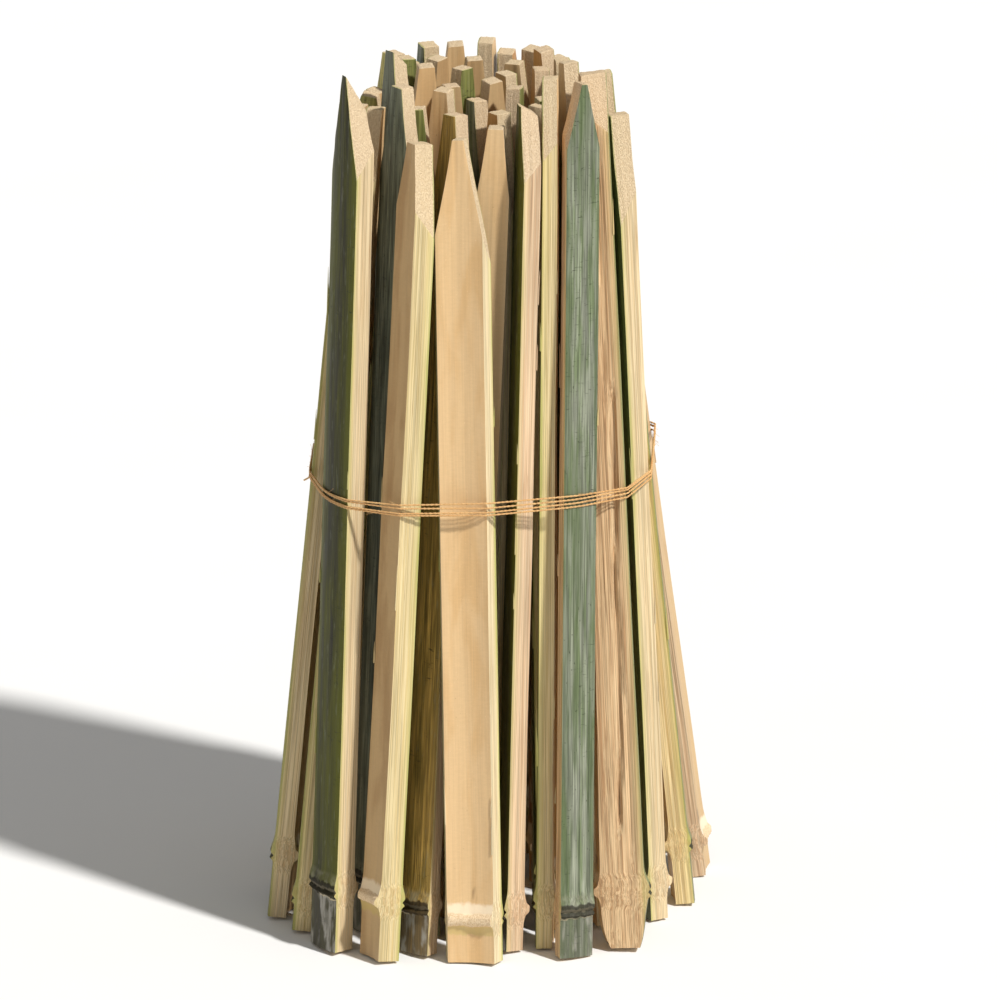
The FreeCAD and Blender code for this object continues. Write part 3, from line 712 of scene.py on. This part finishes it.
def pith_material():
    """The smooth inner face, the broken diaphragm across it at the node, and painted highlight above and
    painted shade below it.
    """
    g = Graph("bamboo_pith")
    grain = g.attribute("grain", "Vector")
    rise = g.split(g.attribute("strip", "Vector"))[2]
    slow = g.noise(g.grainwise(grain, 14, 60), 3, 0.5)
    fine = g.noise(g.grainwise(grain, 1.1, 60), 3)
    ripple = g.noise(g.grainwise(grain, 5, 1.1), 3, 0.6)
    stain = g.ramp(slow, 0.42, 0.66)
    colour = g.mix(g.times(stain, g.attribute("tone", "Alpha")), g.attribute("tone"), g.attribute("patch"))
    colour = g.dim(colour, g.ramp(fine, 0.3, 0.7, 0.955, 1.03))
    colour = g.dim(colour, g.ramp(ripple, 0.3, 0.7, 0.975, 1.015))
    grit = g.noise(g.grainwise(grain, 0.6, 0.9), 3)
    pale = g.ramp(grit, 0.68, 0.76)
    dark = g.ramp(g.noise(g.grainwise(grain, 1.4, 2.6), 2), 0.73, 0.80)
    colour = g.mix(g.times(pale, 0.30), colour, mark("pale grit"))
    colour = g.mix(g.times(dark, 0.35), colour, mark("dark speck"))
    uneven = g.noise(g.grainwise(grain, 5, 5), 3)
    wavy = g.math("ADD", rise, g.ramp(uneven, 0.2, 0.8, -0.9, 0.9))
    smudge = g.times(g.within(wavy, 12, 15, 3.5), g.ramp(slow, 0.52, 0.62), 0.6)
    colour = g.mix(smudge, colour, mark("smudge"))
    # Painted highlight on the band where the pith flares out above the septum; the same band is also made a
    # little glossier.
    gloss_and_painted_highlight = g.within(wavy, 4.2, 7.2, 2.6)
    colour = g.mix(g.times(gloss_and_painted_highlight, 0.65), colour, mark("gloss_and_painted_highlight"))
    # The concave lip below the septum: its own yellowish colour, darkened as painted shade.
    lip = g.within(wavy, -7.5, -4.0, 1.4)
    colour = g.mix(g.times(lip, 0.55), colour, mark("lip"))
    septum = g.within(wavy, -2.8, 3.0, 0.5)
    crumb = g.noise(g.grainwise(grain, 0.8, 0.8), 4)
    septum_colour = g.mix(g.ramp(crumb, 0.25, 0.70), mark("crumb shade"), mark("crumb"))
    colour = g.mix(septum, colour, septum_colour)
    rough = g.ramp(fine, 0.3, 0.7, 0.42, 0.58)
    rough = g.math("ADD", rough, g.times(septum, 0.35))
    rough = g.math("SUBTRACT", rough, g.times(gloss_and_painted_highlight, 0.12))
    relief = g.math("ADD", g.times(fine, 0.25), g.times(ripple, 0.12))
    relief = g.math("ADD", relief, g.times(pale, 0.3))
    relief = g.math("ADD", relief, g.times(septum, crumb, 1.5))
    g.shader.inputs["Specular IOR Level"].default_value = 0.4
    return g.finish(colour, rough, relief, 0.00020)


def cut_ends(g, grain, depth):
    """Colour and relief where the fibres are cut across and show their ends."""
    dots = g.ramp(g.cells(g.grainwise(grain, 0.42, 0.9)), 0.40, 0.15)
    flecks = g.ramp(g.noise(g.grainwise(grain, 0.55, 1.0), 3), 0.34, 0.66)
    colour = g.mix(flecks, mark("fibre ends"), mark("pale fibre ends"))
    colour = g.mix(g.times(dots, 0.26), colour, mark("pore"))
    colour = g.mix(0.22, colour, g.attribute("tone"))
    skin = g.times(g.ramp(depth, 1.0, 0.4), g.attribute("tone", "Alpha"), 0.75)
    colour = g.mix(skin, colour, mark("cut skin"))
    return colour, g.math("ADD", g.times(flecks, 0.5), g.times(dots, -0.5))


def end_material():
    """The sawn feet and tips."""
    g = Graph("bamboo_end")
    depth = g.split(g.attribute("strip", "Vector"))[1]
    colour, relief = cut_ends(g, g.attribute("grain", "Vector"), depth)
    g.shader.inputs["Specular IOR Level"].default_value = 0.25
    return g.finish(colour, 0.85, relief, 0.00025)


def face_material():
    """Split faces, which show the fibres from the side as far up as the cuts that make the point."""
    g = Graph("bamboo_face")
    grain = g.attribute("grain", "Vector")
    parts = g.split(g.attribute("strip", "Vector"))
    depth, rise = parts[1], parts[2]
    node = g.within(rise, -5, 5, 6)
    swirl = g.noise(g.grainwise(grain, 5, 7), 2, 0.0, "Color")
    push = g.vector("MULTIPLY", swirl, g.joined(g.times(node, 2.4)))
    bent = g.vector("ADD", grain, push)
    fibre = g.noise(g.grainwise(bent, 0.38, 46), 3)
    cord = g.noise(g.grainwise(bent, 1.3, 90), 2)
    slow = g.noise(g.grainwise(grain, 6, 70), 2)
    lines = g.math("ADD", g.times(fibre, 0.55), g.times(cord, 0.45))
    colour = g.mix(g.ramp(lines, 0.42, 0.62, 0.0, 0.8), g.attribute("tone"), g.attribute("patch"))
    colour = g.dim(colour, g.ramp(slow, 0.3, 0.7, 0.93, 1.06))
    hair = g.noise(g.grainwise(bent, 0.5, 110), 5)
    colour = g.dim(colour, g.ramp(hair, 0.43, 0.57, 0.78, 1.08))
    streak = g.ramp(g.noise(g.grainwise(bent, 0.5, 24), 2), 0.66, 0.74)
    colour = g.mix(g.times(streak, 0.5), colour, mark("streak"))
    edge = g.math("ADD", depth, g.ramp(slow, 0.3, 0.7, -0.6, 0.6))
    green = g.attribute("tone", "Alpha")
    colour = g.mix(g.times(g.ramp(edge, 4.4, 1.2), green, 0.60), colour, mark("outer layer"))
    colour = g.mix(g.times(g.ramp(edge, 1.4, 0.5), green, 0.85), colour, mark("skin"))
    node_brown = g.times(node, g.ramp(g.noise(g.grainwise(bent, 1.0, 5), 3), 0.45, 0.62), 0.24)
    colour = g.mix(node_brown, colour, mark("node"))
    relief = g.math("ADD", g.times(fibre, 0.8), g.times(cord, 0.6))
    ends, end_relief = cut_ends(g, grain, depth)
    cut = g.ramp(g.attribute("past_cut", "Fac"), -0.06, 0.06)
    colour = g.mix(cut, colour, ends)
    relief = g.math("ADD", g.times(g.math("SUBTRACT", 1.0, cut), relief), g.times(cut, end_relief))
    g.shader.inputs["Specular IOR Level"].default_value = 0.25
    return g.finish(colour, g.ramp(fibre, 0.3, 0.7, 0.66, 0.86), relief, 0.00030)


def twine_material():
    g = Graph("twine")
    along = g.attribute("run", "Vector")
    strand = g.noise(g.vector("MULTIPLY", along, (1 / 1.4, 3.0, 1.0)), 3)
    slow = g.noise(g.vector("MULTIPLY", along, (1 / 30, 0.3, 1.0)), 2)
    colour = g.mix(g.ramp(strand, 0.35, 0.65), linear(184, 132, 76), linear(242, 206, 146))
    colour = g.mix(g.ramp(slow, 0.35, 0.7, 0.0, 0.5), colour, linear(196, 140, 84))
    return g.finish(colour, g.ramp(strand, 0.3, 0.7, 0.7, 0.9), strand, 0.00012)


def hull_of(points):
    """The corners of the convex hull of plan points, anticlockwise."""
    ordered = sorted(set(points))

    def half(run):
        chain = []
        for point in run:
            while len(chain) > 1:
                (ax, ay), (bx, by) = chain[-2:]
                if (bx - ax) * (point[1] - ay) - (by - ay) * (point[0] - ax) > 0:
                    break
                chain.pop()
            chain.append(point)
        return chain[:-1]

    return half(ordered) + half(reversed(ordered))


# The twine, in mm.
TWINE_RADIUS = 0.55
TWINE_GAP = 0.35  # between the twine and the stakes that it passes
PLY_RADIUS = 0.31
PLY_OFFSET = 0.24  # of a ply's middle from the twine's
PLY_TWIST = 4.6  # mm along the twine for one twist
PLY_SIDES = 6
PLY_STEP = 0.9
CORNER_STEP = 0.18  # radians of a bend to one step of its line
TURNS = 4
TURN_RISE = 1.7
TURN_WAVE = 0.9  # the most that each of a turn's three waves rises
WINDING_DROP = 3.6  # from the knot's middle to the bottom of the winding
WINDING_HEIGHT = 8.0
FIRST_RISE = 0.6  # of the first turn above the bottom
KNOT_TURNS = 3.0
KNOT_RADIUS = 1.5
KNOT_HEIGHT = 9.0
KNOT_OUT = 2.0  # of the knot's middle from the line of the twine
KNOT_POINTS, TAIL_POINTS, STRAY_POINTS, FIBRE_POINTS = 90, 16, 14, 6
LOOSE_FIBRES = 70
FIBRE_SPACING = 5.0
FIBRE_RADIUS = 0.07
STRAY_END = (-88.0, -14.0)  # where the twine's other end sticks out, in plan


def turn_line(stakes, low, high, clear):
    """One loop round the bundle from its back, as plan points at a chosen distance outside the stakes."""
    points = []
    for stake in stakes:
        for level in (low, high):
            tilt = stake.axes[2][2]
            own = (level - stake.origin[2] / MM) / tilt
            points += [(round(x, 2), round(y, 2)) for x, y, _ in stake.section(own)]
    hull = hull_of(points)
    line = []
    for number, (x, y) in enumerate(hull):
        before = hull[number - 1]
        after = hull[(number + 1) % len(hull)]
        a = math.atan2(y - before[1], x - before[0]) - math.pi / 2
        b = math.atan2(after[1] - y, after[0] - x) - math.pi / 2
        turn = math.atan2(math.sin(b - a), math.cos(b - a))
        steps = max(1, round(turn / CORNER_STEP))
        for step in range(steps + 1):
            angle = a + turn * step / steps
            line.append((x + clear * math.cos(angle), y + clear * math.sin(angle)))
    back = max(range(len(line)), key=lambda n: line[n][1] - 0.2 * abs(line[n][0]))
    return line[back:] + line[:back]


def resampled(points, step):
    """Points at even distances along a run of points, and those distances."""
    points = np.array(points, float)
    gone = np.concatenate([[0], np.cumsum(np.linalg.norm(np.diff(points, axis=0), axis=1))])
    places = np.arange(0, gone[-1], step)
    return np.stack([np.interp(places, gone, points[:, k]) for k in range(3)], axis=1), places


def strand_mesh(line, places, radius, offset, phase, base):
    """One tube that winds round a line: its points, their places along and round it, and its faces."""
    tangent = np.gradient(line, axis=0)
    tangent /= np.linalg.norm(tangent, axis=1)[:, None]
    side = np.cross(tangent, (0, 0, 1.0))
    side /= np.maximum(np.linalg.norm(side, axis=1)[:, None], 1e-6)
    over = np.cross(side, tangent)
    spin = 2 * math.pi * places / PLY_TWIST + phase
    centre = line + offset * (np.cos(spin)[:, None] * side + np.sin(spin)[:, None] * over)
    points, runs = [], []
    for number in range(PLY_SIDES):
        angle = 2 * math.pi * number / PLY_SIDES
        points.append(centre + radius * (math.cos(angle) * side + math.sin(angle) * over))
        runs.append(np.stack([places, np.full(len(places), phase + angle), np.zeros(len(places))], axis=1))
    points = np.stack(points, axis=1)
    runs = np.stack(runs, axis=1)
    count = len(line)
    quads = []
    for row in range(count - 1):
        for column in range(PLY_SIDES):
            after = (column + 1) % PLY_SIDES
            a, b = base + row * PLY_SIDES + column, base + row * PLY_SIDES + after
            quads.append([b, a, a + PLY_SIDES, b + PLY_SIDES])
    ends = [
        list(range(base, base + PLY_SIDES)),
        list(range(base + count * PLY_SIDES - 1, base + (count - 1) * PLY_SIDES - 1, -1)),
    ]
    return points.reshape(-1, 3), runs.reshape(-1, 3), quads + ends


def shares(count):
    """So many even steps from 0 to 1."""
    return [step / (count - 1) for step in range(count)]


def twine_lines(stakes, noise):
    """The centre lines of the twine's winding, its knot, its tails and its stray end, in mm."""
    low, high = (corner.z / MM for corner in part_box("binding_twine"))
    knot_middle = 0.5 * (low + high)
    bottom = knot_middle - WINDING_DROP
    loop = turn_line(stakes, bottom, bottom + WINDING_HEIGHT, TWINE_RADIUS + TWINE_GAP)
    closed = np.array(loop + loop[:1])
    gone = np.concatenate([[0], np.cumsum(np.linalg.norm(np.diff(closed, axis=0), axis=1))])
    waves = noise.uniform(-TURN_WAVE, TURN_WAVE, (TURNS, 6))
    winding = []
    for turn in range(TURNS):
        for place, (x, y) in zip(gone[:-1], closed[:-1]):
            share = place / gone[-1]
            wave = sum(
                waves[turn][k] * math.sin(2 * math.pi * (k + 1) * share + waves[turn][k + 3] * 6)
                for k in range(3)
            )
            hold = min(1.0, 12 * min(share, 1 - share))
            winding.append((x, y, bottom + FIRST_RISE + TURN_RISE * (turn + share) + wave * hold))
    winding.append((closed[-1][0], closed[-1][1], bottom + FIRST_RISE + TURN_RISE * TURNS))
    start = np.array([closed[0][0], closed[0][1], 0.0])
    along = np.array([closed[1][0] - closed[0][0], closed[1][1] - closed[0][1], 0.0])
    along /= np.linalg.norm(along)
    out = np.array([along[1], -along[0], 0.0])
    knot = []
    for share in shares(KNOT_POINTS):
        angle = 2 * math.pi * KNOT_TURNS * share
        centre = start + out * KNOT_OUT + np.array([0, 0, knot_middle + KNOT_HEIGHT * (share - 0.5)])
        knot.append(centre + KNOT_RADIUS * (math.cos(angle) * out + math.sin(angle) * along))
    tails = []
    for side in (-1, 1):
        tail = []
        for share in shares(TAIL_POINTS):
            outwards = out * (2.0 + 6.0 * share - 2.5 * share ** 2)
            sideways = along * side * (6.5 * share + 1.0 * math.sin(4 * share))
            tail.append(start + (outwards + sideways) + np.array([0, 0, knot_middle - 13.0 * share ** 1.3]))
        tails.append(tail)
    anchor = min(winding, key=lambda p: math.dist(p[:2], STRAY_END))
    away = np.array([anchor[0], anchor[1], 0.0]) / math.hypot(*anchor[:2])
    ahead = np.array([-away[1], away[0], 0.0])
    stray = []
    for share in shares(STRAY_POINTS):
        lift = away * (0.9 + 1.6 * abs(share - 0.4)) + ahead * (7.0 - 12.0 * share)
        stray.append(np.array(anchor) + lift + np.array([0, 0, 1.2 - 6.5 * share]))
    tails.append(stray)
    return winding, knot, tails


def build_twine(stakes, noise):
    """The twine as two plies twisted together, with a few loose fibres."""
    winding, knot, tails = twine_lines(stakes, noise)
    points, runs, quads = [], [], []
    count = 0

    def add(line, radius, offset, phase):
        nonlocal count
        even, places = resampled(line, PLY_STEP)
        made, run, faces = strand_mesh(even, places, radius, offset, phase, count)
        points.append(made)
        runs.append(run)
        quads.extend(faces)
        count += len(made)

    for line in (winding, knot, *tails):
        add(line, PLY_RADIUS, PLY_OFFSET, 0.0)
        add(line, PLY_RADIUS, PLY_OFFSET, math.pi)
    roots, _ = resampled(winding, FIBRE_SPACING)
    for _ in range(LOOSE_FIBRES):
        place = roots[noise.integers(4, len(roots) - 4)]
        out = np.array([place[0], place[1], 0.0])
        out /= np.linalg.norm(out)
        along = np.array([-out[1], out[0], 0.0]) * noise.choice((-1, 1))
        long = noise.uniform(2.5, 7.0)
        rise = noise.uniform(-0.6, 0.8)
        fibre = []
        for share in shares(FIBRE_POINTS):
            curl = out * (0.4 + 0.25 * long * share ** 2)
            fibre.append(place + along * long * share + curl + np.array([0, 0, rise * long * share]))
        add(fibre, FIBRE_RADIUS, 0.0, 0.0)
    mesh = bpy.data.meshes.new("binding_twine_strands")
    mesh.from_pydata((np.vstack(points) * MM).tolist(), [], quads)
    add_attribute(mesh, "run", "FLOAT_VECTOR", "POINT", np.vstack(runs))
    mesh.shade_smooth()
    mesh.materials.append(twine_material())
    return mesh


STAKE_SEED, TWINE_SEED = 100, 7

# The stage and the camera: metres, and angles in degrees.
FLOOR_HALF = 30.0
KEY_AZIMUTH, KEY_ELEVATION = -38, 48
KEY_SIZE = 4  # the sun's width in the sky, which softens its shadows
KEY_ENERGY = 3.7
KEY_COLOUR = (1.0, 0.98, 0.945)
SKY_COLOUR = (1.0, 0.99, 0.97)
SKY_STRENGTH = 0.32
CAMERA_ELEVATION = 19
CAMERA_DISTANCE = 9.0
CAMERA_AIM = (0.0052, 0.0, 0.2164)
WIDTH_SEEN = 0.52
SENSOR_WIDTH = 36.0  # mm
CLIP_END = 100.0


def show(mesh, name):
    piece = bpy.data.objects.new(name, mesh)
    bpy.context.scene.collection.objects.link(piece)
    return piece


def body_of(node):
    for body, nodes in frame["record"]["behaviour"]["bodies"].items():
        if node in nodes:
            return body
    raise ValueError(f"{node} has no body")


def look_of(node, noise):
    """The colours of a stake: its own when they can be told, else a likely mixture."""
    if node in LOOKS:
        return LOOKS[node]
    bark = noise.choice(LIKELY_BARKS)
    pith = noise.choice(LIKELY_PITHS)
    face = noise.choice(LIKELY_FACES)
    return str(bark), str(pith), str(face), noise.uniform(*LIKELY_ROUGHNESS)


def make_stakes():
    materials = [bark_material(), pith_material(), face_material(), end_material()]
    stakes = []
    for number, node in enumerate(sorted(frame["nodes"])):
        if node == "binding_twine":
            continue
        noise = np.random.default_rng(STAKE_SEED + number)
        stake = Stake(node, frame["nodes"][node].data)
        mesh = build_stake(stake, look_of(node, noise), noise)
        for material in materials:
            mesh.materials.append(material)
        piece = show(mesh, f"{node}_bamboo")
        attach(piece, body_of(node))
        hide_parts(node)
        stakes.append(stake)
    return stakes


def make_twine(stakes):
    piece = show(build_twine(stakes, np.random.default_rng(TWINE_SEED)), "binding_twine_strands")
    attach(piece, "tie")
    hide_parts("binding_twine")


def make_stage():
    """A wide pale floor, a soft-edged sun from the front right, and an even pale sky."""
    mesh = bpy.data.meshes.new("floor")
    half = FLOOR_HALF
    corners = [(-half, -half, 0), (half, -half, 0), (half, half, 0), (-half, half, 0)]
    mesh.from_pydata(corners, [], [(0, 1, 2, 3)])
    g = Graph("floor")
    place = g.tree.nodes.new("ShaderNodeTexCoord").outputs["Object"]
    speck = g.noise(g.vector("MULTIPLY", place, (6, 6, 6)), 3)
    colour = g.mix(speck, linear(240, 240, 240), linear(246, 246, 246))
    mesh.materials.append(g.finish(colour, 0.9, speck, 0.00005))
    show(mesh, "floor")

    azimuth, elevation = math.radians(KEY_AZIMUTH), math.radians(KEY_ELEVATION)
    level = math.cos(elevation)
    towards = Vector((math.cos(azimuth) * level, math.sin(azimuth) * level, math.sin(elevation)))
    key = bpy.data.lights.new("key", "SUN")
    key.energy = KEY_ENERGY
    key.angle = math.radians(KEY_SIZE)
    key.color = KEY_COLOUR
    lamp = bpy.data.objects.new("key", key)
    lamp.rotation_euler = towards.to_track_quat("Z", "Y").to_euler()
    bpy.context.scene.collection.objects.link(lamp)

    world = bpy.data.worlds.new("studio")
    world.use_nodes = True
    sky = world.node_tree.nodes["Background"]
    sky.inputs["Color"].default_value = (*SKY_COLOUR, 1.0)
    sky.inputs["Strength"].default_value = SKY_STRENGTH
    bpy.context.scene.world = world


def make_camera():
    """Looks along +Y and down from the photo's angle, from far off through a long lens."""
    elevation = math.radians(CAMERA_ELEVATION)
    back = Vector((0, -math.cos(elevation), math.sin(elevation)))
    camera = bpy.data.cameras.new("camera")
    camera.sensor_width = SENSOR_WIDTH
    camera.lens = camera.sensor_width * CAMERA_DISTANCE / WIDTH_SEEN
    camera.clip_end = CLIP_END
    eye = bpy.data.objects.new("camera", camera)
    eye.location = Vector(CAMERA_AIM) + back * CAMERA_DISTANCE
    eye.rotation_euler = back.to_track_quat("Z", "Y").to_euler()
    bpy.context.scene.collection.objects.link(eye)
    bpy.context.scene.camera = eye


make_camera()
stakes = make_stakes()
make_twine(stakes)
make_stage()
bpy.context.scene.view_settings.view_transform = "Standard"
